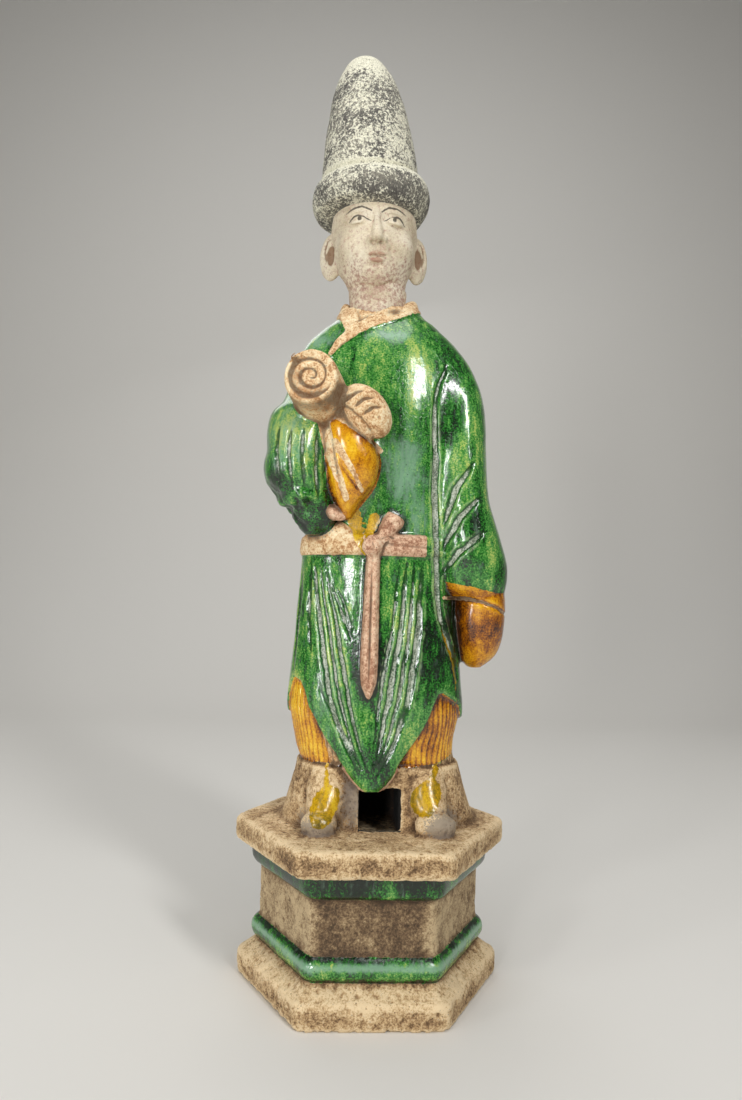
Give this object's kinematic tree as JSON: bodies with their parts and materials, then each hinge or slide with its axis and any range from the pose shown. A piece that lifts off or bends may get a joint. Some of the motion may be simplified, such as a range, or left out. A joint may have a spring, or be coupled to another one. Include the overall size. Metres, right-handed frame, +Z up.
{
  "type": "glazed attendant figurine",
  "caption": "Robed attendant in green and amber glazed pottery holding a rolled bundle, on a six-sided plinth; the unglazed head with its tall brimmed hat lifts out of the collar.",
  "frame": {"origin": "centre of the plinth's underside, at the bottom centre of the bounding box", "axes": "+Z up, -Y towards the viewer in front of the figure, +X to that viewer's right (the side of the hanging arm)"},
  "size_m": [0.1278, 0.1122, 0.4495],
  "materials": {
    "glazed_body": "glossy mottled green lead glaze with amber cuffs and under-robe; collar, belt, hand, boots and plinth slabs left as bare buff clay",
    "painted_head": "matt unglazed clay with worn white slip on the face and scuffed grey-black paint on the hat"
  },
  "bodies": {
    "root": {"figure_on_plinth": "glazed_body", "head_with_hat": "painted_head"}
  },
  "joints": []
}
